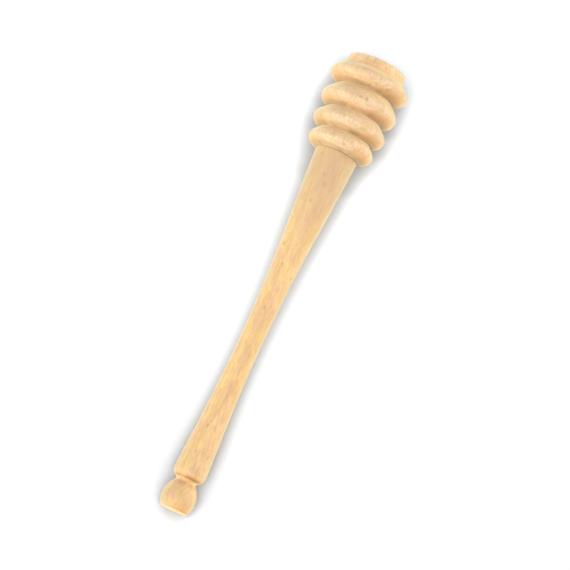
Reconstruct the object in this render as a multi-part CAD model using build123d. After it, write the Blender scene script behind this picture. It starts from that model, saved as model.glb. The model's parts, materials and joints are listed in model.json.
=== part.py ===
from build123d import *
import os
from math import atan, cos, radians, sin, tan

# Honey dipper of turned beech, built from two pieces of wood.
# The handle carries a hanging knob, a neck, a slim grip and a round tenon, all turned in one.
# The head carries four rounded ribs that hold honey in the grooves between them, and a short end boss.
# The tenon is glued into a blind socket in the head, and the handle's shoulder butts on the head's foot.
# Both outlines are drawn along +X from the knob's flat end, with the radius along +Y, and turned about X.
# The finished dipper is then laid down as it lies on a table, on its knob and its wide ribs.
# Sizes are in millimetres. The origin is the bottom centre of the dipper's box.

# Knob at the handle's free end
knob_end_radius = 4.4
knob_bevel_length = 1.3
knob_bevel_radius = 5.07
knob_crest_place = 3.9
knob_radius = 5.65
knob_length = 9.55

# Neck between the knob and the grip
neck_radius = 3.4
neck_width = 0.75

# Grip, from its rounded butt past its slim waist to the shoulder under the head
butt_rounding = 3.3
butt_corner_share = 0.28
butt_radius = 5.42
taper_length = 20.0
waist_place = 58.0
waist_radius = 3.74
flare_radius = 5.15
flare_length = 18.0
shoulder_rounding = 12.0
shoulder_place = 127.3
shoulder_radius = 7.14
shoulder_edge = 0.25

# Tenon and its socket
tenon_radius = 4.0
tenon_length = 20.0
tenon_bevel = 0.6
glue_gap = 0.05
socket_pocket = 1.0
drill_point_angle = 118.0

# Ribs of the head, from the foot that meets the shoulder to the boss
foot_reveal = 0.26
foot_rib_width = 6.7
foot_rib_radius = 11.1
foot_groove_radius = 8.5
low_rib_width = 7.5
low_rib_radius = 12.45
middle_groove_radius = 8.8
high_rib_width = 8.5
high_rib_radius = 13.05
top_groove_radius = 8.8
top_rib_width = 6.4
top_rib_radius = 13.6
# Each rib's crest stands at this share of its width.
foot_crest_share = 0.46
low_crest_share = 0.39
high_crest_share = 0.37
top_crest_share = 0.54
# The far flank of a rib leaves its crest level and then runs down almost straight, as these control points show.
flank_shares = ((0.32, 1.0), (0.68, 0.46))

# End boss, beyond the top rib
boss_root_radius = 10.4
boss_end_radius = 10.0
boss_length = 3.6
boss_edge = 0.5

full_turn = 360.0
quarter_turn = 90.0

# Width, crest share, crest radius and the radius of the groove or boss that ends the rib
ribs = (
    (foot_rib_width, foot_crest_share, foot_rib_radius, foot_groove_radius),
    (low_rib_width, low_crest_share, low_rib_radius, middle_groove_radius),
    (high_rib_width, high_crest_share, high_rib_radius, top_groove_radius),
    (top_rib_width, top_crest_share, top_rib_radius, boss_root_radius),
)


def turned(outline):
    """A solid turned about X from an outline that starts and ends on the axis."""
    closed = Wire(outline + [Line(outline[-1] @ 1, outline[0] @ 0)])
    return revolve(make_face(closed), Axis.X, full_turn)


def make_handle():
    """Knob, neck, grip and tenon in one. Slopes at the grip's straight stretches make them run into its arcs."""
    knob_end = (0, knob_end_radius)
    bevel = (knob_bevel_length, knob_bevel_radius)
    crest = (knob_crest_place, knob_radius)
    neck_start = (knob_length, neck_radius)
    neck_end = (knob_length + neck_width, neck_radius)
    butt_corner = (neck_end[0] + butt_corner_share * butt_rounding, butt_radius)
    butt = (neck_end[0] + butt_rounding, butt_radius)
    taper_slope = (butt_radius - waist_radius) / (taper_length + (waist_place - butt[0] - taper_length) / 2)
    taper_end = (butt[0] + taper_length, butt_radius - taper_slope * taper_length)
    waist = (waist_place, waist_radius)
    shoulder = (shoulder_place - shoulder_edge, shoulder_radius)
    flare_start = (shoulder[0] - shoulder_rounding - flare_length, flare_radius)
    flare_slope = (flare_radius - waist_radius) / ((flare_start[0] - waist_place) / 2)
    flare_end = (flare_start[0] + flare_length, flare_radius + flare_slope * flare_length)
    shoulder_rim = (shoulder_place, shoulder_radius - shoulder_edge)
    tenon_root = (shoulder_place, tenon_radius)
    tenon_end = shoulder_place + tenon_length
    tenon_side = (tenon_end - tenon_bevel, tenon_radius)
    tenon_tip = (tenon_end, tenon_radius - tenon_bevel)
    return turned(
        [
            Line((0, 0), knob_end),
            Line(knob_end, bevel),
            TangentArc(crest, bevel, tangent=(-1, 0)),
            TangentArc(crest, neck_start, tangent=(1, 0)),
            Line(neck_start, neck_end),
            Bezier(neck_end, butt_corner, butt),
            Line(butt, taper_end),
            TangentArc(waist, taper_end, tangent=(-1, 0)),
            TangentArc(waist, flare_start, tangent=(1, 0)),
            Line(flare_start, flare_end),
            TangentArc(flare_end, shoulder, tangent=(1, flare_slope)),
            Line(shoulder, shoulder_rim),
            Line(shoulder_rim, tenon_root),
            Line(tenon_root, tenon_side),
            Line(tenon_side, tenon_tip),
            Line(tenon_tip, (tenon_end, 0)),
        ]
    )


def rib_outline(foot, width, crest_share, crest_radius, end_radius):
    """A quarter ellipse from the rib's foot up to its crest, the far flank down from it, and the flank's end."""
    crest = (foot[0] + crest_share * width, crest_radius)
    end = (foot[0] + width, end_radius)
    near_flank = EllipticalCenterArc(
        (crest[0], foot[1]),
        crest[0] - foot[0],
        crest_radius - foot[1],
        start_angle=quarter_turn,
        arc_size=quarter_turn,
    )
    guides = [
        (crest[0] + way * (end[0] - crest[0]), end_radius + height * (crest_radius - end_radius))
        for way, height in flank_shares
    ]
    return [near_flank, Bezier(crest, *guides, end)], end


def make_head():
    place = (shoulder_place, shoulder_radius + foot_reveal)
    outline = [Line((shoulder_place, 0), place)]
    for rib in ribs:
        flanks, place = rib_outline(place, *rib)
        outline += flanks
    end = place[0] + boss_length
    edge_start = (end - boss_edge, boss_end_radius)
    edge_end = (end, boss_end_radius - boss_edge)
    outline += [
        Line(place, edge_start),
        Bezier(edge_start, (end, boss_end_radius), edge_end),
        Line(edge_end, (end, 0)),
    ]
    return turned(outline) - make_socket()


def make_socket():
    """The space drilled into the head, with the cone that the drill's point leaves."""
    socket_radius = tenon_radius + glue_gap
    mouth = (shoulder_place, socket_radius)
    floor = (shoulder_place + tenon_length + socket_pocket, socket_radius)
    point = (floor[0] + socket_radius / tan(radians(drill_point_angle / 2)), 0)
    return turned([Line((shoulder_place, 0), mouth), Line(mouth, floor), Line(floor, point)])


def rest_tilt():
    """The angle of the axis when the dipper lies on its knob and on the rib that reaches lowest."""
    rises = []
    rib_start = shoulder_place
    for width, crest_share, crest_radius, _ in ribs:
        crest_place = rib_start + crest_share * width
        rises.append((crest_radius - knob_radius) / (crest_place - knob_crest_place))
        rib_start += width
    return atan(max(rises))


def laid_down(pieces):
    """The pieces tilted until the dipper lies on the table, with its box's bottom centre at the origin."""
    tilt = rest_tilt()
    lying = Plane(origin=(0, 0, 0), x_dir=(cos(tilt), 0, sin(tilt)), z_dir=(-sin(tilt), 0, cos(tilt)))
    tilted = {name: lying.location * piece for name, piece in pieces.items()}
    box = Compound(list(tilted.values())).bounding_box()
    seat = Location((-box.center().X, 0, -box.min.Z))
    return {name: seat * piece for name, piece in tilted.items()}


def main():
    os.makedirs("parts", exist_ok=True)
    for name, piece in laid_down({"handle": make_handle(), "dipper_head": make_head()}).items():
        export_step(piece, f"parts/{name}.step")
        print(name, round(piece.volume), "mm3")


main()
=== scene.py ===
"""Honey dipper of turned beech: a ribbed head glued on a slim waisted handle, lying on a white table."""

import json
from math import atan2, ceil, cos, exp, pi, radians, sin, tan
from typing import NamedTuple

import bmesh
import bpy
from bpy.props import FloatProperty, FloatVectorProperty, IntProperty, PointerProperty
from bpy.types import Operator, Panel, PropertyGroup
from mathutils import Matrix, Vector, noise
from mathutils.geometry import interpolate_bezier


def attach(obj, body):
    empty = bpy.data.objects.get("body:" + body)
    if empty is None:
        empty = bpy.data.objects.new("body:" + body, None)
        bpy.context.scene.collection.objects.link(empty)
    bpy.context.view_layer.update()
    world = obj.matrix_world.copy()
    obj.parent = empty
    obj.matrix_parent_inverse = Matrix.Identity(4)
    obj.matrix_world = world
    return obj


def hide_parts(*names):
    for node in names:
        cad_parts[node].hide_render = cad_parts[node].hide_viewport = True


bl_info = {
    "name": "Turned Honey Dipper",
    "version": (1, 0, 0),
    "blender": (4, 5, 0),
    "location": "View3D > Sidebar > Dipper",
    "description": "Turns a beech honey dipper from its outlines and sets it on a white table",
    "category": "Add Mesh",
}

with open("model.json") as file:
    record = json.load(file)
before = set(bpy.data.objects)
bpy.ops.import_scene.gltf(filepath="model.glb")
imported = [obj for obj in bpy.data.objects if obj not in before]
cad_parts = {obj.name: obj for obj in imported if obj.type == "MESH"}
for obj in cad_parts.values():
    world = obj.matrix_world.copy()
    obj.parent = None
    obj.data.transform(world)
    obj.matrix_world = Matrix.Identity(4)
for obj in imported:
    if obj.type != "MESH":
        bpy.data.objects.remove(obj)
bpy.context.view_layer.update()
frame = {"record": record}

MM = 0.001
WELD = 0.001 * MM
CREVICE_SHADE = "crevice_shade"
WARM_SHADE = "warm_shade"
BEECH_AND_SHADE = "beech and painted shade"
FLOAT = "NodeSocketFloat"
COLOR = "NodeSocketColor"
VECTOR = "NodeSocketVector"
WHITE = (1.0, 1.0, 1.0, 1.0)

# Colour sockets of a Mix node, by number because their names repeat.
MIX_SHARE = 0
MIX_FIRST = 6
MIX_SECOND = 7
MIX_RESULT = 2

RIBS = 4

# Guide points of a rib's far flank: way along it, and height above its end, as shares.
FLANK_SHARES = ((0.32, 1.0), (0.68, 0.46))

# How far towards its corner each guide of a rounded corner lies.
CORNER_SHARE = 2 / 3

# The turning axis runs from the knob's flat end to the head's flat end. A piece is turned about X and
# then laid down on that axis.
mounts = {mount["name"]: Vector(mount["pos_m"]) for mount in frame["record"]["mounts"]}
knob_end = mounts["knob_end"]
along = (mounts["head_end"] - knob_end).normalized()
across = Vector((0.0, 0.0, 1.0)).cross(along).normalized()
above = along.cross(across)
lying = Matrix.Translation(knob_end) @ Matrix((along, across, above)).transposed().to_4x4()


class HandleSizes(PropertyGroup):
    """Outline of the handle, from the knob's flat end to the tip of the tenon."""

    knob_end_radius: FloatProperty(
        name="Knob end radius", description="Flat end of the knob", default=4.4 * MM, unit="LENGTH"
    )
    knob_bevel_length: FloatProperty(
        name="Knob bevel length", description="Bevel behind the flat end",
        default=1.3 * MM, unit="LENGTH",
    )
    knob_bevel_radius: FloatProperty(
        name="Knob bevel radius", description="Where the bevel meets the round",
        default=5.07 * MM, unit="LENGTH",
    )
    knob_crest_place: FloatProperty(
        name="Knob crest place", description="Widest place, from the flat end",
        default=3.9 * MM, unit="LENGTH",
    )
    knob_radius: FloatProperty(
        name="Knob radius", description="At the knob's widest place", default=5.65 * MM, unit="LENGTH"
    )
    knob_length: FloatProperty(
        name="Knob length", description="From the flat end to the neck", default=9.55 * MM, unit="LENGTH"
    )
    neck_radius: FloatProperty(
        name="Neck radius", description="Between the knob and the grip", default=3.4 * MM, unit="LENGTH"
    )
    neck_width: FloatProperty(
        name="Neck width", description="Length of the neck", default=0.75 * MM, unit="LENGTH"
    )
    butt_rounding: FloatProperty(
        name="Butt rounding", description="Length of the grip's rounded butt",
        default=3.3 * MM, unit="LENGTH",
    )
    butt_corner_share: FloatProperty(
        name="Butt corner share", description="How far up the butt its round is fullest", default=0.28
    )
    butt_radius: FloatProperty(
        name="Butt radius", description="Grip beyond its butt", default=5.42 * MM, unit="LENGTH"
    )
    taper_length: FloatProperty(
        name="Taper length", description="Straight taper of the grip", default=20.0 * MM, unit="LENGTH"
    )
    waist_place: FloatProperty(
        name="Waist place", description="Slimmest place, from the flat end",
        default=58.0 * MM, unit="LENGTH",
    )
    waist_radius: FloatProperty(
        name="Waist radius", description="Grip at its waist", default=3.74 * MM, unit="LENGTH"
    )
    flare_radius: FloatProperty(
        name="Flare radius", description="Where the straight flare starts",
        default=5.15 * MM, unit="LENGTH",
    )
    flare_length: FloatProperty(
        name="Flare length", description="Straight flare of the grip", default=18.0 * MM, unit="LENGTH"
    )
    shoulder_rounding: FloatProperty(
        name="Shoulder rounding", description="Length of the shoulder's curve",
        default=12.0 * MM, unit="LENGTH",
    )
    shoulder_place: FloatProperty(
        name="Shoulder place", description="Where the head sits, from the flat end",
        default=127.3 * MM, unit="LENGTH",
    )
    shoulder_radius: FloatProperty(
        name="Shoulder radius", description="Grip under the head", default=7.14 * MM, unit="LENGTH"
    )
    shoulder_edge: FloatProperty(
        name="Shoulder edge", description="Bevel of the shoulder's rim", default=0.25 * MM, unit="LENGTH"
    )
    tenon_radius: FloatProperty(
        name="Tenon radius", description="Round tenon inside the head", default=4.0 * MM, unit="LENGTH"
    )
    tenon_length: FloatProperty(
        name="Tenon length", description="From the shoulder to the tip", default=20.0 * MM, unit="LENGTH"
    )
    tenon_bevel: FloatProperty(
        name="Tenon bevel", description="Bevel of the tenon's tip", default=0.6 * MM, unit="LENGTH"
    )


class HeadSizes(PropertyGroup):
    """Outline of the head. Each vector holds its ribs, from the foot to the end boss."""

    foot_reveal: FloatProperty(
        name="Foot reveal", description="How far the foot stands out past the shoulder",
        default=0.26 * MM, unit="LENGTH",
    )
    rib_widths: FloatVectorProperty(
        name="Rib widths", description="From groove to groove", size=RIBS,
        default=(6.7 * MM, 7.5 * MM, 8.5 * MM, 6.4 * MM), unit="LENGTH",
    )
    crest_shares: FloatVectorProperty(
        name="Crest shares", description="Place of each crest as a share of its rib", size=RIBS,
        default=(0.46, 0.39, 0.37, 0.54),
    )
    rib_radii: FloatVectorProperty(
        name="Rib radii", description="At the crests", size=RIBS,
        default=(11.1 * MM, 12.45 * MM, 13.05 * MM, 13.6 * MM), unit="LENGTH",
    )
    groove_radii: FloatVectorProperty(
        name="Groove radii", description="Where each rib ends, the last at the boss", size=RIBS,
        default=(8.5 * MM, 8.8 * MM, 8.8 * MM, 10.4 * MM), unit="LENGTH",
    )
    boss_end_radius: FloatProperty(
        name="Boss end radius", description="End boss at its flat end", default=10.0 * MM, unit="LENGTH"
    )
    boss_length: FloatProperty(
        name="Boss length", description="End boss beyond the last rib", default=3.6 * MM, unit="LENGTH"
    )
    boss_edge: FloatProperty(
        name="Boss edge", description="Rounding of the boss's edge", default=0.5 * MM, unit="LENGTH"
    )
    glue_gap: FloatProperty(
        name="Glue gap", description="Clearance round the tenon", default=0.05 * MM, unit="LENGTH"
    )
    socket_pocket: FloatProperty(
        name="Socket pocket", description="Space past the tenon's tip", default=1.0 * MM, unit="LENGTH"
    )
    drill_point_angle: FloatProperty(
        name="Drill point angle", description="Cone at the socket's floor",
        default=radians(118.0), subtype="ANGLE",
    )


class TurningSizes(PropertyGroup):
    """How finely the pieces are turned, and how far handwork leaves them from true."""

    step: FloatProperty(
        name="Step", description="Distance between rings of the mesh", default=0.4 * MM, unit="LENGTH"
    )
    segments: IntProperty(name="Segments", description="Faces round a ring", default=128, min=12)
    sharp_angle: FloatProperty(
        name="Sharp angle", description="Edges above it are sanded",
        default=radians(25.0), subtype="ANGLE",
    )
    softening: FloatProperty(
        name="Softening", description="Sanded width of the sharp edges", default=0.14 * MM, unit="LENGTH"
    )
    edge_segments: IntProperty(
        name="Edge segments", description="Faces across a sanded edge", default=2, min=1
    )
    ripple: FloatProperty(
        name="Ripple", description="Height of the marks that the gouge left",
        default=0.02 * MM, unit="LENGTH",
    )
    ripple_pitch: FloatProperty(
        name="Ripple pitch", description="Spacing of the gouge's marks", default=1.6 * MM, unit="LENGTH"
    )
    warp: FloatProperty(
        name="Warp", description="How far drying pulled the wood out of round",
        default=0.04 * MM, unit="LENGTH",
    )
    warp_length: FloatProperty(
        name="Warp length", description="Over which the warp changes", default=18.0 * MM, unit="LENGTH"
    )


class MarkSizes(PropertyGroup):
    """How far the painted crease shade and the painted warm shade reach along the pieces, and how strong
    they are.
    """

    # Painted shade: the wood is darkened beside each groove and crease, where shade falls.
    crevice_rise: FloatProperty(
        name="Crevice rise", description="How far a groove's dusk reaches towards the head's end",
        default=1.4 * MM, unit="LENGTH",
    )
    crevice_fall: FloatProperty(
        name="Crevice fall", description="How far it reaches towards the knob",
        default=0.45 * MM, unit="LENGTH",
    )
    neck_crease_shade: FloatProperty(
        name="Neck dusk", description="How far the dusk beside the neck reaches",
        default=0.8 * MM, unit="LENGTH",
    )
    knob_crease_shade: FloatProperty(
        name="Knob dusk", description="How strong the dusk is where the knob meets the neck",
        default=0.75,
        subtype="FACTOR",
    )
    bevel_crease_shade: FloatProperty(
        name="Bevel dusk", description="How strong the dusk is at the knob's bevel",
        default=0.2, subtype="FACTOR",
    )
    # Painted warm shade: orange-brown shade beside the grooves, round the boss's root, beside the neck and
    # on the knob.
    warm_shade_rise: FloatProperty(
        name="Amber rise", description="How far the stain reaches up a rib from its groove",
        default=2.0 * MM, unit="LENGTH",
    )
    boss_shade_reach: FloatProperty(
        name="Boss stain reach", description="How far the stain reaches from the boss's root",
        default=2.2 * MM, unit="LENGTH",
    )
    boss_shade: FloatProperty(
        name="Boss stain", description="How strong the stain is round the boss's root", default=0.25,
        subtype="FACTOR",
    )
    rim_shade_reach: FloatProperty(
        name="Rim stain reach", description="How far the stain reaches from the knob's end",
        default=0.9 * MM, unit="LENGTH",
    )
    knob_side_shade: FloatProperty(
        name="Knob stain", description="How strong the stain is on the knob's side", default=0.25,
        subtype="FACTOR",
    )


class BeechLook(PropertyGroup):
    """Colours and finish of the beech that both pieces share, with the colours of its painted shade."""

    deep: FloatVectorProperty(
        name="Deep wood", description="Late wood, fibres and turning marks", subtype="COLOR", size=4,
        default=(0.70, 0.40, 0.17, 1.0),
    )
    # Painted shade: colour that darkens the wider parts of a piece, away from the axis.
    outer_shade: FloatVectorProperty(
        name="Outer shade colour", description="Wood away from the axis", subtype="COLOR", size=4,
        default=(0.60, 0.405, 0.245, 1.0),
    )
    fleck: FloatVectorProperty(
        name="Ray fleck", description="Short dark rays", subtype="COLOR", size=4,
        default=(0.50, 0.22, 0.07, 1.0),
    )
    # Colour of the painted warm shade, the orange-brown of wood in shade.
    warm_shade: FloatVectorProperty(
        name="Warm shade", description="Stain beside the grooves and the neck and on the knob", subtype="COLOR",
        size=4, default=(0.90, 0.40, 0.08, 1.0),
    )
    # Colour of the painted shade in the grooves and creases.
    crevice_shade: FloatVectorProperty(
        name="Crevice", description="Wood in the grooves", subtype="COLOR", size=4,
        default=(0.58, 0.28, 0.08, 1.0),
    )
    # Painted shadow: the darkest line at the bottom of each groove and crease, where shade falls.
    crease_shadow: FloatVectorProperty(
        name="Crease shadow", description="Glue and dust at the bottom of the grooves", subtype="COLOR", size=4,
        default=(0.30, 0.12, 0.03, 1.0),
    )
    roughness: FloatProperty(
        name="Roughness", description="Fine sanded wood",
        default=0.46, min=0.0, max=1.0, subtype="FACTOR",
    )
    relief: FloatProperty(
        name="Relief", description="Height of the raised grain", default=0.05 * MM, unit="LENGTH"
    )
    relief_strength: FloatProperty(
        name="Relief strength", description="How clearly the raised grain shows",
        default=0.35, subtype="FACTOR",
    )
    gloss_index: FloatProperty(name="Gloss index", description="Refractive index of the wood", default=1.5)
    sheen: FloatProperty(
        name="Sheen", description="Pale light along the wood's edges", default=1.0, subtype="FACTOR"
    )
    sheen_roughness: FloatProperty(
        name="Sheen roughness", description="How far the sheen spreads inwards",
        default=0.5, subtype="FACTOR",
    )
    sheen_tint: FloatVectorProperty(
        name="Sheen tint", description="Colour of the sheen", subtype="COLOR", size=4,
        default=(1.0, 0.94, 0.62, 1.0),
    )


class HandleBeech(PropertyGroup):
    """The handle's own beech."""

    pale: FloatVectorProperty(
        name="Pale wood", description="Early wood", subtype="COLOR", size=4,
        default=(0.98, 0.70, 0.265, 1.0),
    )
    rosy: FloatVectorProperty(
        name="Rosy wood", description="Pinkish patches", subtype="COLOR", size=4,
        default=(0.87, 0.52, 0.32, 1.0),
    )
    tool_marks: FloatProperty(
        name="Tool marks", description="How clearly the turning marks show",
        default=0.05, subtype="FACTOR",
    )
    # Painted shade: how dark the wood is painted beside its creases.
    crease_shade: FloatProperty(
        name="Crease shade", description="How dark the wood is beside its creases", default=0.6, subtype="FACTOR"
    )
    # Painted shade on the wider parts, away from the axis.
    outer_shade_share: FloatProperty(
        name="Outer shade share", description="How much duller the wood is away from the axis", default=0.62,
        subtype="FACTOR",
    )
    billet_place: FloatProperty(
        name="Place in the billet", description="Moves the figure along the wood", default=310 * MM,
        unit="LENGTH",
    )
    billet_turn: FloatProperty(
        name="Turn in the billet", description="Turns the figure about the axis", default=radians(20),
        subtype="ANGLE",
    )
    # The painted warm shade lies away from this lit side.
    lit_side_turn: FloatProperty(
        name="Clean turn", description="Middle of the unstained side, from the top", default=radians(75),
        subtype="ANGLE",
    )
    lit_side_width: FloatProperty(
        name="Clean width", description="From there to where the stain starts", default=radians(40),
        subtype="ANGLE",
    )
    shade_width: FloatProperty(
        name="Stain width", description="From its start to its full strength", default=radians(60),
        subtype="ANGLE",
    )


class HeadBeech(PropertyGroup):
    """The head's own beech."""

    pale: FloatVectorProperty(
        name="Pale wood", description="Early wood", subtype="COLOR", size=4,
        default=(0.95, 0.76, 0.445, 1.0),
    )
    rosy: FloatVectorProperty(
        name="Rosy wood", description="Pinkish patches", subtype="COLOR", size=4,
        default=(0.93, 0.65, 0.46, 1.0),
    )
    tool_marks: FloatProperty(
        name="Tool marks", description="How clearly the turning marks show",
        default=0.34, subtype="FACTOR",
    )
    # Painted shade: how dark the wood is painted beside its creases.
    crease_shade: FloatProperty(
        name="Crease shade", description="How dark the wood is beside its creases",
        default=0.07, subtype="FACTOR",
    )
    # Painted shade on the wider parts, away from the axis.
    outer_shade_share: FloatProperty(
        name="Outer shade share", description="How much duller the wood is away from the axis", default=0.0,
        subtype="FACTOR",
    )
    billet_place: FloatProperty(
        name="Place in the billet", description="Moves the figure along the wood", default=770 * MM,
        unit="LENGTH",
    )
    billet_turn: FloatProperty(
        name="Turn in the billet", description="Turns the figure about the axis", default=radians(-50),
        subtype="ANGLE",
    )
    # The painted warm shade lies away from this lit side.
    lit_side_turn: FloatProperty(
        name="Clean turn", description="Middle of the unstained side, from the top", default=radians(14),
        subtype="ANGLE",
    )
    lit_side_width: FloatProperty(
        name="Clean width", description="From there to where the stain starts", default=radians(22),
        subtype="ANGLE",
    )
    shade_width: FloatProperty(
        name="Stain width", description="From its start to its full strength", default=radians(45),
        subtype="ANGLE",
    )


class StageLook(PropertyGroup):
    """White table, soft lamps and camera."""

    table_size: FloatProperty(name="Table size", description="Half its side", default=3.0, unit="LENGTH")
    table_tone: FloatVectorProperty(
        name="Table tone", description="How the camera sees the table", size=4,
        default=(1.1, 1.19, 1.28, 1.0),
    )
    card_tone: FloatVectorProperty(
        name="Card tone", description="The table's tone in the light that it throws back", subtype="COLOR",
        size=4, default=(0.92, 0.92, 0.92, 1.0),
    )
    # Painted shadow: the table's colour close to the dipper.
    shade_tone: FloatVectorProperty(
        name="Shade tone", description="Table close to the dipper", size=4,
        default=(0.58, 0.637, 0.692, 1.0),
    )
    shade_reach: FloatProperty(
        name="Shade reach", description="How far the dipper shades the table",
        default=11.5 * MM, unit="LENGTH",
    )
    dome: FloatProperty(name="Dome light", description="Light from all round", default=0.25)
    dome_tint: FloatVectorProperty(
        name="Dome tint", description="Colour of the light from all round", subtype="COLOR", size=4,
        default=(0.93, 0.96, 1.0, 1.0),
    )
    top: FloatProperty(name="Top lamp", description="Lamp above the dipper", default=0.65)
    left: FloatProperty(name="Left lamp", description="Low lamp on the picture's left", default=0.74)
    right: FloatProperty(name="Right lamp", description="Low lamp on the picture's right", default=0.58)
    end: FloatProperty(name="End lamp", description="Lamp beyond the head", default=0.05)
    camera_distance: FloatProperty(
        name="Camera distance", description="From the dipper", default=0.95, unit="LENGTH"
    )
    camera_lens: FloatProperty(name="Lens", description="Focal length in millimetres", default=186.25)
    camera_lean: FloatProperty(
        name="Camera lean", description="Towards the knob", default=radians(10.8), subtype="ANGLE"
    )
    camera_roll: FloatProperty(
        name="Camera roll", description="Turns the head to the upper right", default=radians(24.74),
        subtype="ANGLE",
    )
    aim_along: FloatProperty(
        name="Aim along", description="Point looked at, from the knob's end",
        default=81.03 * MM, unit="LENGTH",
    )
    aim_across: FloatProperty(
        name="Aim across", description="Point looked at, beside the axis",
        default=-2.38 * MM, unit="LENGTH",
    )


# Outlines run along X from the knob's flat end, with the radius along Y.


def steps_between(start, end, step):
    """How many steps a stretch is cut into."""
    return max(2, ceil((end - start).length / step))


def straight(start, end, step):
    """Points of a straight stretch, without its start."""
    count = steps_between(start, end, step)
    return [start.lerp(end, i / count) for i in range(1, count + 1)]


def arc_leaving(start, heading, end, step):
    """Points of the arc that leaves start along heading and reaches end."""
    chord = end - start
    turn = 2 * atan2(heading.x * chord.y - heading.y * chord.x, heading.dot(chord))
    left = Vector((-heading.y, heading.x)).normalized()
    centre = start + left * chord.length_squared / (2 * chord.dot(left))
    count = steps_between(start, end, step)
    turns = [Matrix.Rotation(turn * i / count, 2) for i in range(1, count + 1)]
    return [centre + part @ (start - centre) for part in turns]


def arc_arriving(start, end, heading, step):
    """Points of the arc that starts anywhere and arrives at end along heading."""
    backwards = arc_leaving(end, -heading, start, step)
    return backwards[-2::-1] + [end]


def curve(start, first_guide, second_guide, end, step):
    """Points of a curve that leaves start and reaches end by way of two guides, without its start."""
    count = steps_between(start, end, step)
    points = interpolate_bezier(start, first_guide, second_guide, end, count + 1)
    return [point.to_2d() for point in points[1:]]


def rounded_corner(start, guide, end, step):
    """Points of a curve that rounds off the corner at guide."""
    return curve(start, start.lerp(guide, CORNER_SHARE), end.lerp(guide, CORNER_SHARE), end, step)


def quarter_ellipse(foot, crest, step):
    """A rib's near flank, square to the axis at its foot and level at its crest."""
    reach = crest - foot
    count = 2 * steps_between(foot, crest, step)
    turns = [pi / 2 * i / count for i in range(1, count + 1)]
    return [Vector((crest.x - reach.x * cos(turn), foot.y + reach.y * sin(turn))) for turn in turns]


def handle_outline(s, step):
    """The handle's outline. An arc's two tangents meet halfway, so taper and flare aim at that place."""
    level = Vector((1, 0))
    fine = step / 2
    coarse = step * 2
    knob_rim = Vector((0, s.knob_end_radius))
    bevel = Vector((s.knob_bevel_length, s.knob_bevel_radius))
    crest = Vector((s.knob_crest_place, s.knob_radius))
    neck = Vector((s.knob_length, s.neck_radius))
    butt_foot = neck + Vector((s.neck_width, 0))
    butt_corner = Vector((butt_foot.x + s.butt_corner_share * s.butt_rounding, s.butt_radius))
    butt = Vector((butt_foot.x + s.butt_rounding, s.butt_radius))
    taper_run = s.taper_length + (s.waist_place - butt.x - s.taper_length) / 2
    taper_slope = (s.waist_radius - butt.y) / taper_run
    taper_end = butt + s.taper_length * Vector((1, taper_slope))
    waist = Vector((s.waist_place, s.waist_radius))
    shoulder = Vector((s.shoulder_place - s.shoulder_edge, s.shoulder_radius))
    flare = Vector((shoulder.x - s.shoulder_rounding - s.flare_length, s.flare_radius))
    flare_heading = Vector((1, (flare.y - waist.y) / ((flare.x - waist.x) / 2)))
    flare_end = flare + s.flare_length * flare_heading
    rim = Vector((s.shoulder_place, s.shoulder_radius - s.shoulder_edge))
    tenon_root = Vector((s.shoulder_place, s.tenon_radius))
    tenon_side = tenon_root + Vector((s.tenon_length - s.tenon_bevel, 0))
    tenon_tip = tenon_root + Vector((s.tenon_length, -s.tenon_bevel))
    centre = Vector((0, 0))
    return [
        centre,
        *straight(centre, knob_rim, step),
        *straight(knob_rim, bevel, fine),
        *arc_arriving(bevel, crest, level, fine),
        *arc_leaving(crest, level, neck, fine),
        *straight(neck, butt_foot, fine),
        *rounded_corner(butt_foot, butt_corner, butt, fine),
        *straight(butt, taper_end, step),
        *arc_arriving(taper_end, waist, level, step),
        *arc_leaving(waist, level, flare, step),
        *straight(flare, flare_end, step),
        *arc_leaving(flare_end, flare_heading, shoulder, step),
        rim,
        *straight(rim, tenon_root, step),
        *straight(tenon_root, tenon_side, coarse),
        tenon_tip,
        *straight(tenon_tip, Vector((tenon_tip.x, 0)), coarse),
    ]


def head_outline(s, handle, step):
    """The head's outline, from the socket's point round its mouth and over the ribs to the boss's end."""
    fine = step / 2
    coarse = step * 2
    socket_radius = handle.tenon_radius + s.glue_gap
    socket_floor = handle.shoulder_place + handle.tenon_length + s.socket_pocket
    mouth = Vector((handle.shoulder_place, socket_radius))
    floor = Vector((socket_floor, socket_radius))
    point = Vector((socket_floor + socket_radius / tan(s.drill_point_angle / 2), 0))
    foot = Vector((handle.shoulder_place, handle.shoulder_radius + s.foot_reveal))
    outline = [
        point,
        *straight(point, floor, coarse),
        *straight(floor, mouth, coarse),
        *straight(mouth, foot, step),
    ]
    for width, share, radius, end_radius in zip(s.rib_widths, s.crest_shares, s.rib_radii, s.groove_radii):
        crest = Vector((foot.x + share * width, radius))
        end = Vector((foot.x + width, end_radius))
        guides = [
            Vector((crest.x + way * (end.x - crest.x), end.y + height * (crest.y - end.y)))
            for way, height in FLANK_SHARES
        ]
        outline += quarter_ellipse(foot, crest, step)
        outline += curve(crest, *guides, end, fine)
        foot = end
    boss_end = foot.x + s.boss_length
    edge_start = Vector((boss_end - s.boss_edge, s.boss_end_radius))
    edge_end = Vector((boss_end, s.boss_end_radius - s.boss_edge))
    outline += straight(foot, edge_start, fine)
    outline += rounded_corner(edge_start, Vector((boss_end, s.boss_end_radius)), edge_end, fine / 2)
    outline += straight(edge_end, Vector((boss_end, 0)), step)
    return outline


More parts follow.
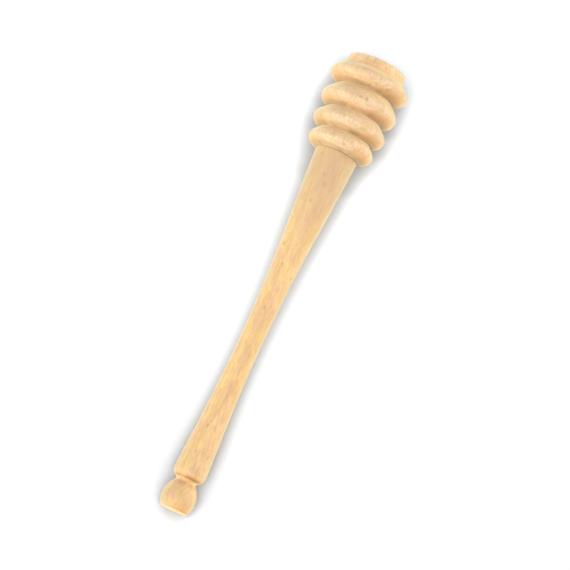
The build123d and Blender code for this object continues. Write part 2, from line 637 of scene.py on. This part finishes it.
def turned(outline, turning):
    """A closed mesh, turned about X from an outline that starts and ends on the axis."""
    bm = bmesh.new()
    points = [bm.verts.new((point.x, point.y, 0)) for point in outline]
    for first, second in zip(points, points[1:]):
        bm.edges.new((first, second))
    bmesh.ops.spin(
        bm,
        geom=bm.verts[:] + bm.edges[:],
        cent=(0, 0, 0),
        axis=(1, 0, 0),
        angle=2 * pi,
        steps=turning.segments,
        use_merge=True,
    )
    bmesh.ops.remove_doubles(bm, verts=bm.verts[:], dist=WELD)
    bmesh.ops.recalc_face_normals(bm, faces=bm.faces[:])
    return bm


def sand_edges(bm, turning):
    """Rounds the edges that the tools left sharp, as fine paper does."""
    sharp = [edge for edge in bm.edges if edge.calc_face_angle(0) > turning.sharp_angle]
    bmesh.ops.bevel(
        bm,
        geom=sharp,
        offset=turning.softening,
        offset_type="OFFSET",
        segments=turning.edge_segments,
        profile=0.5,
        affect="EDGES",
        material=-1,
        clamp_overlap=True,
    )


def leave_from_true(bm, turning, joint, is_outside):
    """Moves the outside by a hair, as a gouge, hand sanding and drying leave it. The joint stays true."""
    for vert in bm.verts:
        place = vert.co
        radius = Vector((0, place.y, place.z))
        if radius.length < WELD or not is_outside(place.x, radius.length):
            continue
        free = min(1, abs(place.x - joint) / turning.ripple_pitch)
        round_place = radius.normalized()
        ripple = turning.ripple * noise.noise(Vector((place.x / turning.ripple_pitch, 0, 0)))
        warp = turning.warp * noise.noise(round_place + Vector((place.x / turning.warp_length, 0, 0)))
        vert.co += free * (ripple + warp) * round_place


class Band(NamedTuple):
    """A mark round a piece. It fades over its fall towards the knob and over its rise towards the head."""

    place: float
    fall: float
    rise: float
    strength: float = 1.0

    def at(self, x):
        way = x - self.place
        reach = self.rise if way > 0 else self.fall
        return self.strength * exp(-((way / reach) ** 2))


def strongest(bands, x):
    """The strongest of these bands at x, from 0 to 1."""
    return max((band.at(x) for band in bands), default=0)


def mark_crevices(bm, creases):
    """Stores how deep in a crease each point lies, which sets the painted shade there."""
    layer = bm.verts.layers.float.new(CREVICE_SHADE)
    for vert in bm.verts:
        vert[layer] = strongest(creases, vert.co.x)


def mark_warm_shade(bm, side_shades, all_round_shades, own):
    """Stores how much painted warm shade each point gets. The side shade leaves the piece's lit side free.
    """
    layer = bm.verts.layers.float.new(WARM_SHADE)
    lit_side = Vector((0, sin(own.lit_side_turn), cos(own.lit_side_turn)))
    for vert in bm.verts:
        turn = Vector((0, vert.co.y, vert.co.z)).angle(lit_side, 0)
        side = min(1, max(0, (turn - own.lit_side_width) / own.shade_width))
        vert[layer] = max(side * strongest(side_shades, vert.co.x), strongest(all_round_shades, vert.co.x))


def mark_handle(bm, sizes, marks, own):
    """Marks the painted crease shade and the painted warm shade on the knob, beside the neck and under the
    head.
    """
    reach = marks.neck_crease_shade
    bevel = Band(sizes.knob_bevel_length, sizes.knob_bevel_length, reach, marks.bevel_crease_shade)
    by_knob = Band(sizes.knob_length - reach, reach, reach / 2, marks.knob_crease_shade)
    by_butt = Band(sizes.knob_length + sizes.neck_width + reach / 2, reach / 3, reach)
    under_head = Band(sizes.shoulder_place, marks.crevice_fall, marks.crevice_fall)
    mark_crevices(bm, [bevel, by_knob, by_butt, under_head])
    middle = sizes.knob_crest_place / 2
    knob_rim = Band(0, marks.rim_shade_reach, marks.rim_shade_reach)
    knob_side = Band(middle, middle, middle, marks.knob_side_shade)
    mark_warm_shade(bm, [knob_rim, knob_side, by_butt], [], own)


def mark_head(bm, sizes, handle, marks, own):
    """Marks the grooves' painted shade, their painted warm shade on one side, and the painted warm shade
    round the boss's root.
    """
    grooves = [handle.shoulder_place]
    for width in sizes.rib_widths:
        grooves.append(grooves[-1] + width)
    boss_root = grooves.pop()
    mark_crevices(bm, [Band(groove, marks.crevice_fall, marks.crevice_rise) for groove in grooves])
    groove_shades = [Band(groove, marks.crevice_fall, marks.warm_shade_rise) for groove in grooves]
    by_boss = Band(boss_root, marks.boss_shade_reach, marks.boss_shade_reach, marks.boss_shade)
    mark_warm_shade(bm, groove_shades, [by_boss], own)


def lay_down(bm, name, material, node):
    """Lays the turned piece on the table and makes it stand for its part of the frame."""
    bmesh.ops.transform(bm, matrix=lying, verts=bm.verts[:])
    for face in bm.faces:
        face.smooth = True
    mesh = bpy.data.meshes.new(name)
    bm.to_mesh(mesh)
    bm.free()
    mesh.materials.append(material)
    piece = bpy.data.objects.new(name, mesh)
    bpy.context.scene.collection.objects.link(piece)
    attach(piece, "root")
    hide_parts(node)


class Wiring:
    """Adds nodes to a tree and joins them."""

    def __init__(self, tree):
        self.tree = tree

    def node(self, kind, inputs=(), **settings):
        """A new node. Each input is a socket to join to, or a value to set."""
        made = self.tree.nodes.new(kind)
        for key, value in settings.items():
            setattr(made, key, value)
        for key, value in dict(inputs).items():
            if isinstance(value, bpy.types.NodeSocket):
                self.tree.links.new(value, made.inputs[key])
            else:
                made.inputs[key].default_value = value
        return made

    def math(self, operation, *values, clamp=False):
        made = self.node("ShaderNodeMath", dict(enumerate(values)), operation=operation, use_clamp=clamp)
        return made.outputs[0]

    def vector(self, operation, *values):
        return self.node("ShaderNodeVectorMath", dict(enumerate(values)), operation=operation).outputs[0]

    def measure(self, operation, *values):
        """A number taken from vectors, such as a length."""
        made = self.node("ShaderNodeVectorMath", dict(enumerate(values)), operation=operation)
        return made.outputs["Value"]

    def scaled(self, vector, factor):
        return self.node("ShaderNodeVectorMath", {0: vector, "Scale": factor}, operation="SCALE").outputs[0]

    def stretch(self, vector, lengths):
        """A vector whose parts are counted in these lengths."""
        return self.vector("DIVIDE", vector, lengths)

    def noise(self, vector, detail, output="Fac"):
        made = self.node("ShaderNodeTexNoise", {"Vector": vector, "Scale": 1.0, "Detail": detail})
        return made.outputs[output]

    def ramp(self, value, start, full):
        """From 0 where the value is at start to 1 where it is at full, smooth at both ends."""
        made = self.node(
            "ShaderNodeMapRange",
            {"Value": value, "From Min": start, "From Max": full},
            interpolation_type="SMOOTHSTEP",
        )
        return made.outputs["Result"]

    def blend(self, share, first, second):
        made = self.node(
            "ShaderNodeMix", {MIX_SHARE: share, MIX_FIRST: first, MIX_SECOND: second}, data_type="RGBA"
        )
        return made.outputs[MIX_RESULT]


def emptied(owner):
    """The wiring of a material or world, with nothing in it yet."""
    owner.use_nodes = True
    owner.node_tree.nodes.clear()
    return Wiring(owner.node_tree)


def new_group(name, inputs, outputs):
    """An empty shader node group with these sockets, and its wiring."""
    group = bpy.data.node_groups.new(name, "ShaderNodeTree")
    for in_out, sockets in (("INPUT", inputs), ("OUTPUT", outputs)):
        for socket_name, kind in sockets:
            group.interface.new_socket(name=socket_name, in_out=in_out, socket_type=kind)
    return group, Wiring(group)


class Pattern(NamedTuple):
    """A noise in the wood: lengths in millimetres, detail, and the values where it starts and is full."""

    lengths: tuple
    detail: float
    start: float
    full: float


class RoundPattern(NamedTuple):
    """A noise on the turned surface: its pitch in millimetres, and how much it changes round the axis."""

    pitch: float
    change: float
    detail: float
    start: float
    full: float


class Rays(NamedTuple):
    """Flecks in cells of the wood: a cell's lengths, a fleck's reach in it, and the share left bare."""

    lengths: tuple
    reach: float
    bare_share: float


# The tree's pith as seen from the billet's middle, and its growth rings, in millimetres.
PITH_ASIDE = 21.0
PITH_BELOW = 34.0
RING_WIDTH = 2.7

# Lengths round the pith are measured at this radius, in millimetres.
ROUND_RADIUS = 40.0

# How the grain leans and wanders, over lengths in millimetres along it and across it.
GRAIN_LEAN_SHARE = 0.06
WANDER_LENGTHS = (46.0, 13.0, 13.0)
WANDER_REACHES = (0.0, 3.0, 3.0)
WANDER_DETAIL = 2.0
NOISE_MIDDLE = (0.5, 0.5, 0.5)

# Keeps the parts of a place that lie across the axis.
OFF_AXIS = (0.0, 1.0, 1.0)

# Patterns of the figure. Lengths run along the grain first, then across it.
BROAD_CLOUDS = Pattern(lengths=(8.0, 3.4, 3.4), detail=3.0, start=0.34, full=0.66)
SMALL_CLOUDS = Pattern(lengths=(2.6, 1.1, 1.1), detail=2.0, start=0.36, full=0.64)
FIBRES = Pattern(lengths=(6.0, 0.45, 0.6), detail=3.0, start=0.42, full=0.72)
LARGE_RAYS = Rays(lengths=(3.2, 4.0, 2.0), reach=0.30, bare_share=0.78)
SMALL_RAYS = Rays(lengths=(2.2, 2.0, 0.6), reach=0.28, bare_share=0.5)
TURNING_MARKS = RoundPattern(pitch=0.8, change=1.3, detail=2.0, start=0.35, full=0.7)
# Blotches that break up the painted crease shade and the painted crease shadow.
SHADE_BLOTCHES = RoundPattern(pitch=6.0, change=2.08, detail=1.0, start=0.4, full=0.6)

# The share of a fleck's reach over which it is at its darkest.
FLECK_CORE_SHARE = 1 / 3

# Shares of a ring between which its late wood sets in, and between which it ends.
LATE_START_SHARES = (0.35, 0.93)
LATE_END_SHARES = (1.0, 0.95)

# Distances from the axis in millimetres between which the painted shade of the wider parts sets in.
OUTER_RADII = (4.3, 7.2)

# How much of its colour each pattern lays on the wood, as a share.
BROAD_SHARE = 0.5
SMALL_SHARE = 0.5
LATE_SHARE = 0.3
STREAK_SHARE = 0.55
LARGE_RAY_SHARE = 0.45
SMALL_RAY_SHARE = 0.3
END_GRAIN_SHARE = 0.6
# Shares of the painted crease shade and the painted crease shadow, in the shade blotches and between them,
# and where the painted warm shade lies.
CREASE_SHADE_IN_BLOTCHES = 0.75
CREASE_SHADE_BETWEEN_BLOTCHES = 0.25
CREASE_SHADE_IN_WARM_SHADE = 0.6
CREASE_SHADOW_IN_BLOTCHES = 0.5
CREASE_SHADOW_BETWEEN_BLOTCHES = 0.2

# How quickly the painted shadow thins out from a crease's bottom, and end grain as a face turns from the
# axis.
CREASE_SHADOW_POWER = 7.0
END_GRAIN_POWER = 4.0

# What the patterns add to the roughness and to the height.
FIBRE_ROUGHNESS = 0.16
END_GRAIN_ROUGHNESS = 0.15
FIBRE_HEIGHT = -0.6
RAY_HEIGHT = -0.3
MARK_HEIGHT = -4.0


def wood_axes_group():
    """From a place in millimetres to its place along the grain, out from the pith and round it."""
    group, wire = new_group("wood axes", [("Place", VECTOR)], [("Wood place", VECTOR), ("Ring", FLOAT)])
    place = wire.node("NodeGroupInput").outputs["Place"]
    wander = wire.noise(wire.stretch(place, WANDER_LENGTHS), WANDER_DETAIL, "Color")
    shift = wire.vector("MULTIPLY", wire.vector("SUBTRACT", wander, NOISE_MIDDLE), WANDER_REACHES)
    parts = wire.node("ShaderNodeSeparateXYZ", {0: wire.vector("ADD", place, shift)}).outputs
    lean = wire.math("MULTIPLY", parts["X"], GRAIN_LEAN_SHARE)
    sideways = wire.math("ADD", wire.math("SUBTRACT", parts["Y"], lean), PITH_ASIDE)
    upward = wire.math("ADD", parts["Z"], PITH_BELOW)
    from_pith = wire.node("ShaderNodeCombineXYZ", {"X": sideways, "Y": upward}).outputs[0]
    radius = wire.measure("LENGTH", from_pith)
    round_way = wire.math("MULTIPLY", wire.math("ARCTAN2", sideways, upward), ROUND_RADIUS)
    wood_place = wire.node("ShaderNodeCombineXYZ", {"X": parts["X"], "Y": radius, "Z": round_way})
    wire.node("NodeGroupOutput", {"Wood place": wood_place.outputs[0], "Ring": radius})
    return group


def cloudy(wire, place, pattern):
    """Soft patches in the wood."""
    value = wire.noise(wire.stretch(place, pattern.lengths), pattern.detail)
    return wire.ramp(value, pattern.start, pattern.full)


def round_the_axis(wire, place, pattern):
    """A pattern on the turned surface, which changes along the axis and more slowly round it."""
    lengthwise = wire.vector("MULTIPLY", place, (1 / pattern.pitch, 0.0, 0.0))
    outwards = wire.vector("NORMALIZE", wire.vector("MULTIPLY", place, OFF_AXIS))
    turned_place = wire.vector("ADD", lengthwise, wire.scaled(outwards, pattern.change))
    value = wire.noise(turned_place, pattern.detail)
    return wire.ramp(value, pattern.start, pattern.full)


def late_wood(wire, radius):
    """Each ring darkens outwards and ends at once."""
    ring = wire.math("FRACT", wire.math("DIVIDE", radius, RING_WIDTH))
    return wire.math("MULTIPLY", wire.ramp(ring, *LATE_START_SHARES), wire.ramp(ring, *LATE_END_SHARES))


def ray_flecks(wire, wood_place, rays):
    """Short dark rays, one to a cell of the wood, with some cells left bare."""
    cell_place = wire.stretch(wood_place, rays.lengths)
    cells = wire.node("ShaderNodeTexVoronoi", {"Vector": cell_place, "Scale": 1.0}).outputs
    lot = wire.node("ShaderNodeSeparateColor", {0: cells["Color"]}).outputs[0]
    chosen = wire.math("GREATER_THAN", lot, rays.bare_share)
    fleck = wire.ramp(cells["Distance"], rays.reach, rays.reach * FLECK_CORE_SHARE)
    return wire.math("MULTIPLY", fleck, chosen)


def beech_group():
    """Colour, roughness and height of sanded beech, with painted shade in its creases, on one side and on
    its wider parts.
    """
    colours = ("Pale", "Rosy", "Deep", "Outer shade", "Fleck", "Warm shade colour", "Crevice shade colour", "Crease shadow")
    amounts = ("Warm shade", "Crevice", "Crease shade", "End grain", "Tool marks", "Outer shade share", "Roughness")
    inputs = [("Place", VECTOR)]
    inputs += [(name, COLOR) for name in colours]
    inputs += [(name, FLOAT) for name in amounts]
    outputs = [("Color", COLOR), ("Roughness", FLOAT), ("Height", FLOAT)]
    group, wire = new_group(BEECH_AND_SHADE, inputs, outputs)
    given = wire.node("NodeGroupInput").outputs
    place = wire.scaled(given["Place"], 1 / MM)
    axes = wire.node("ShaderNodeGroup", {"Place": place}, node_tree=wood_axes_group()).outputs
    wood_place = axes["Wood place"]

    broad = wire.math("MULTIPLY", cloudy(wire, place, BROAD_CLOUDS), BROAD_SHARE)
    mottle = wire.math("MULTIPLY_ADD", cloudy(wire, place, SMALL_CLOUDS), SMALL_SHARE, broad)
    late = late_wood(wire, axes["Ring"])
    fibre = wire.noise(wire.stretch(wood_place, FIBRES.lengths), FIBRES.detail)
    streaks = wire.ramp(fibre, FIBRES.start, FIBRES.full)
    large_rays = ray_flecks(wire, wood_place, LARGE_RAYS)
    small_rays = ray_flecks(wire, wood_place, SMALL_RAYS)
    marks = wire.math("MULTIPLY", round_the_axis(wire, place, TURNING_MARKS), given["Tool marks"])
    # Painted shade on the wider parts, away from the axis.
    off_axis = wire.measure("LENGTH", wire.vector("MULTIPLY", place, OFF_AXIS))
    outer = wire.math("MULTIPLY", wire.ramp(off_axis, *OUTER_RADII), given["Outer shade share"])
    # Painted shade in the creases, broken into blotches and stronger where the painted warm shade lies.
    shade_blotches = wire.math("MAXIMUM", round_the_axis(wire, place, SHADE_BLOTCHES), given["Warm shade"])
    blotched_shade = wire.math("MULTIPLY_ADD", shade_blotches, CREASE_SHADE_IN_BLOTCHES, CREASE_SHADE_BETWEEN_BLOTCHES)
    crease_shade_share = wire.math("MULTIPLY_ADD", given["Warm shade"], CREASE_SHADE_IN_WARM_SHADE, given["Crease shade"])
    crease_shade = wire.math("MULTIPLY", wire.math("MULTIPLY", given["Crevice"], blotched_shade), crease_shade_share)
    # Painted shadow, darkest at the very bottom of each crease.
    bottom = wire.math("POWER", given["Crevice"], CREASE_SHADOW_POWER)
    crease_shadow = wire.math("MULTIPLY", bottom, wire.math("MULTIPLY_ADD", shade_blotches, CREASE_SHADOW_IN_BLOTCHES, CREASE_SHADOW_BETWEEN_BLOTCHES))

    wood = given["Pale"]
    for share, colour in (
        (mottle, "Rosy"),
        (wire.math("MULTIPLY", late, LATE_SHARE), "Deep"),
        (wire.math("MULTIPLY", streaks, STREAK_SHARE), "Deep"),
        (wire.math("MULTIPLY", large_rays, LARGE_RAY_SHARE), "Fleck"),
        (wire.math("MULTIPLY", small_rays, SMALL_RAY_SHARE), "Fleck"),
        (marks, "Deep"),
        (outer, "Outer shade"),
        (wire.math("MULTIPLY", given["End grain"], END_GRAIN_SHARE), "Deep"),
        # Painted warm shade, then the painted crease shade and the painted crease shadow.
        (given["Warm shade"], "Warm shade colour"),
        (crease_shade, "Crevice shade colour"),
        (crease_shadow, "Crease shadow"),
    ):
        wood = wire.blend(share, wood, given[colour])

    rough = wire.math("MULTIPLY_ADD", fibre, FIBRE_ROUGHNESS, given["Roughness"])
    rough = wire.math("MULTIPLY_ADD", given["End grain"], END_GRAIN_ROUGHNESS, rough, clamp=True)
    height = wire.math("MULTIPLY_ADD", large_rays, RAY_HEIGHT, wire.math("MULTIPLY", fibre, FIBRE_HEIGHT))
    height = wire.math("MULTIPLY_ADD", marks, MARK_HEIGHT, height)
    wire.node("NodeGroupOutput", {"Color": wood, "Roughness": rough, "Height": height})
    return group


def beech_material(name, look, own):
    """Beech whose figure is cut from its own place in the billet, so that head and handle differ."""
    material = bpy.data.materials.new(name)
    wire = emptied(material)
    coordinates = wire.node("ShaderNodeTexCoord").outputs
    turn = lying.to_quaternion() @ Matrix.Rotation(own.billet_turn, 3, "X").to_quaternion()
    billet_end = knob_end - own.billet_place * along
    place = wire.node(
        "ShaderNodeMapping",
        {"Vector": coordinates["Object"], "Location": billet_end, "Rotation": turn.to_euler()},
        vector_type="TEXTURE",
    ).outputs[0]
    facing = wire.math("ABSOLUTE", wire.measure("DOT_PRODUCT", coordinates["Normal"], along))
    beech = wire.node(
        "ShaderNodeGroup",
        {
            "Place": place,
            "Pale": own.pale,
            "Rosy": own.rosy,
            "Deep": look.deep,
            "Outer shade": look.outer_shade,
            "Fleck": look.fleck,
            "Warm shade colour": look.warm_shade,
            "Crevice shade colour": look.crevice_shade,
            "Crease shadow": look.crease_shadow,
            "Warm shade": wire.node("ShaderNodeAttribute", attribute_name=WARM_SHADE).outputs["Fac"],
            "Crevice": wire.node("ShaderNodeAttribute", attribute_name=CREVICE_SHADE).outputs["Fac"],
            "Crease shade": own.crease_shade,
            "End grain": wire.math("POWER", facing, END_GRAIN_POWER),
            "Tool marks": own.tool_marks,
            "Outer shade share": own.outer_shade_share,
            "Roughness": look.roughness,
        },
        node_tree=bpy.data.node_groups.get(BEECH_AND_SHADE) or beech_group(),
    ).outputs
    bump = wire.node(
        "ShaderNodeBump",
        {"Height": beech["Height"], "Strength": look.relief_strength, "Distance": look.relief},
    )
    shader = wire.node(
        "ShaderNodeBsdfPrincipled",
        {
            "Base Color": beech["Color"],
            "Roughness": beech["Roughness"],
            "Normal": bump.outputs[0],
            "IOR": look.gloss_index,
            "Sheen Weight": look.sheen,
            "Sheen Roughness": look.sheen_roughness,
            "Sheen Tint": look.sheen_tint,
        },
    )
    wire.node("ShaderNodeOutputMaterial", {"Surface": shader.outputs[0]})
    return material


class DIPPER_OT_turn_handle(Operator):
    """Turn the handle with its knob, grip and tenon"""

    bl_idname = "dipper.turn_handle"
    bl_label = "Turn Handle"

    def execute(self, context):
        scene = context.scene
        sizes = scene.dipper_handle
        turning = scene.dipper_turning
        own = scene.dipper_handle_beech
        bm = turned(handle_outline(sizes, turning.step), turning)
        sand_edges(bm, turning)
        leave_from_true(bm, turning, sizes.shoulder_place, lambda x, radius: x < sizes.shoulder_place)
        mark_handle(bm, sizes, scene.dipper_marks, own)
        material = beech_material("handle beech", scene.dipper_look, own)
        lay_down(bm, "handle_wood", material, "handle")
        return {"FINISHED"}


class DIPPER_OT_turn_head(Operator):
    """Turn the ribbed head with the socket for its tenon"""

    bl_idname = "dipper.turn_head"
    bl_label = "Turn Head"

    def execute(self, context):
        scene = context.scene
        sizes = scene.dipper_head
        handle = scene.dipper_handle
        turning = scene.dipper_turning
        own = scene.dipper_head_beech
        bm = turned(head_outline(sizes, handle, turning.step), turning)
        sand_edges(bm, turning)
        foot_radius = handle.shoulder_radius
        leave_from_true(bm, turning, handle.shoulder_place, lambda x, radius: radius > foot_radius)
        mark_head(bm, sizes, handle, scene.dipper_marks, own)
        material = beech_material("head beech", scene.dipper_look, own)
        lay_down(bm, "head_wood", material, "dipper_head")
        return {"FINISHED"}


class Lamp(NamedTuple):
    """A lamp: where it stands, along, across and above the axis, the angle it fills, and its colour."""

    towards: tuple
    spread: float
    tint: tuple


# The table's painted shadow goes from full to none between these shares of open sky.
SHADE_SAMPLES = 16
SHADE_SHARES = (0.5, 0.97)

# The lamps. Their strengths are the stage's values of the same names.
LAMPS = {
    "top": Lamp(towards=(-0.25, 0.05, 1.0), spread=radians(40), tint=(1.0, 0.98, 1.0)),
    "left": Lamp(towards=(-1.0, 1.2, 0.1), spread=radians(30), tint=(0.97, 0.98, 0.75)),
    "right": Lamp(towards=(0.65, -1.15, 0.1), spread=radians(30), tint=(1.0, 0.94, 0.70)),
    "end": Lamp(towards=(1.0, 0.1, 0.5), spread=radians(50), tint=(1.0, 0.97, 0.92)),
}


def seen_rays(wire):
    """1 for a ray that shows things to the camera, mirrored or not, and 0 for one that lights them."""
    rays = wire.node("ShaderNodeLightPath").outputs
    indirect = wire.math("MAXIMUM", rays["Is Glossy Ray"], rays["Is Transmission Ray"])
    return wire.math("MAXIMUM", rays["Is Camera Ray"], indirect)


def table_material(stage):
    """White to the camera, with a painted shadow close to the dipper, and a matt white card to the light
    that falls on it.
    """
    material = bpy.data.materials.new("white table")
    wire = emptied(material)
    reach = stage.shade_reach
    # Painted shadow: the table darkens where the dipper hides its open sky.
    sky = wire.node("ShaderNodeAmbientOcclusion", {"Distance": reach}, samples=SHADE_SAMPLES).outputs["AO"]
    shade = wire.ramp(sky, *SHADE_SHARES)
    shown = wire.blend(shade, stage.shade_tone, stage.table_tone)
    colour = wire.blend(seen_rays(wire), stage.card_tone, shown)
    shader = wire.node("ShaderNodeBsdfDiffuse", {"Color": colour})
    wire.node("ShaderNodeOutputMaterial", {"Surface": shader.outputs[0]})
    return material


def white_world(stage):
    """A soft dome of light with a white ground behind it."""
    world = bpy.data.worlds.new("white room")
    wire = emptied(world)
    light = wire.node("ShaderNodeBackground", {"Color": stage.dome_tint, "Strength": stage.dome}).outputs[0]
    ground = wire.node("ShaderNodeBackground", {"Color": WHITE, "Strength": 1.0}).outputs[0]
    both = wire.node("ShaderNodeMixShader", {0: seen_rays(wire), 1: light, 2: ground}).outputs[0]
    wire.node("ShaderNodeOutputWorld", {"Surface": both})
    return world


def add_table(stage):
    bm = bmesh.new()
    bmesh.ops.create_grid(bm, x_segments=1, y_segments=1, size=stage.table_size)
    mesh = bpy.data.meshes.new("table")
    bm.to_mesh(mesh)
    bm.free()
    mesh.materials.append(table_material(stage))
    table = bpy.data.objects.new("table", mesh)
    bpy.context.scene.collection.objects.link(table)


def add_lamp(name, lamp, strength):
    """A large soft lamp, far away. A strength of 1 lights a white card that faces it up to white."""
    data = bpy.data.lights.new(name, "SUN")
    data.energy = pi * strength
    data.angle = lamp.spread
    data.color = lamp.tint
    made = bpy.data.objects.new(name, data)
    direction = lamp.towards[0] * along + lamp.towards[1] * across + lamp.towards[2] * above
    made.rotation_mode = "QUATERNION"
    made.rotation_quaternion = direction.to_track_quat("Z", "Y")
    made.location = knob_end + direction
    bpy.context.scene.collection.objects.link(made)


def add_camera(stage):
    data = bpy.data.cameras.new("camera")
    data.lens = stage.camera_lens
    camera = bpy.data.objects.new("camera", data)
    bpy.context.scene.collection.objects.link(camera)
    back = cos(stage.camera_lean) * above - sin(stage.camera_lean) * along
    upright = cos(stage.camera_lean) * along + sin(stage.camera_lean) * above
    right = cos(stage.camera_roll) * -across + sin(stage.camera_roll) * upright
    top = cos(stage.camera_roll) * upright + sin(stage.camera_roll) * across
    aim = knob_end + stage.aim_along * along + stage.aim_across * across
    turn = Matrix((right, top, back)).transposed().to_4x4()
    camera.matrix_world = Matrix.Translation(aim + stage.camera_distance * back) @ turn
    bpy.context.scene.camera = camera


class DIPPER_OT_set_stage(Operator):
    """Set the white table, the soft lamps and the camera"""

    bl_idname = "dipper.set_stage"
    bl_label = "Set Stage"

    def execute(self, context):
        scene = context.scene
        stage = scene.dipper_stage
        add_table(stage)
        scene.world = white_world(stage)
        for side, lamp in LAMPS.items():
            add_lamp(f"{side} lamp", lamp, getattr(stage, side))
        add_camera(stage)
        scene.view_settings.view_transform = "Standard"
        return {"FINISHED"}


class DIPPER_PT_panel(Panel):
    """Lists the steps in their order"""

    bl_label = "Honey Dipper"
    bl_idname = "DIPPER_PT_panel"
    bl_space_type = "VIEW_3D"
    bl_region_type = "UI"
    bl_category = "Dipper"

    def draw(self, context):
        for operator in OPERATORS:
            self.layout.operator(operator.bl_idname)


OPERATORS = (DIPPER_OT_turn_handle, DIPPER_OT_turn_head, DIPPER_OT_set_stage)
GROUPS = {
    "dipper_handle": HandleSizes,
    "dipper_head": HeadSizes,
    "dipper_turning": TurningSizes,
    "dipper_marks": MarkSizes,
    "dipper_look": BeechLook,
    "dipper_handle_beech": HandleBeech,
    "dipper_head_beech": HeadBeech,
    "dipper_stage": StageLook,
}


def register():
    for group in GROUPS.values():
        bpy.utils.register_class(group)
    for name, group in GROUPS.items():
        setattr(bpy.types.Scene, name, PointerProperty(type=group))
    for operator in OPERATORS:
        bpy.utils.register_class(operator)
    bpy.utils.register_class(DIPPER_PT_panel)


def unregister():
    bpy.utils.unregister_class(DIPPER_PT_panel)
    for operator in reversed(OPERATORS):
        bpy.utils.unregister_class(operator)
    for name, group in GROUPS.items():
        delattr(bpy.types.Scene, name)
        bpy.utils.unregister_class(group)


def main():
    register()
    bpy.ops.dipper.turn_handle()
    bpy.ops.dipper.turn_head()
    bpy.ops.dipper.set_stage()


if __name__ == "__main__":
    main()
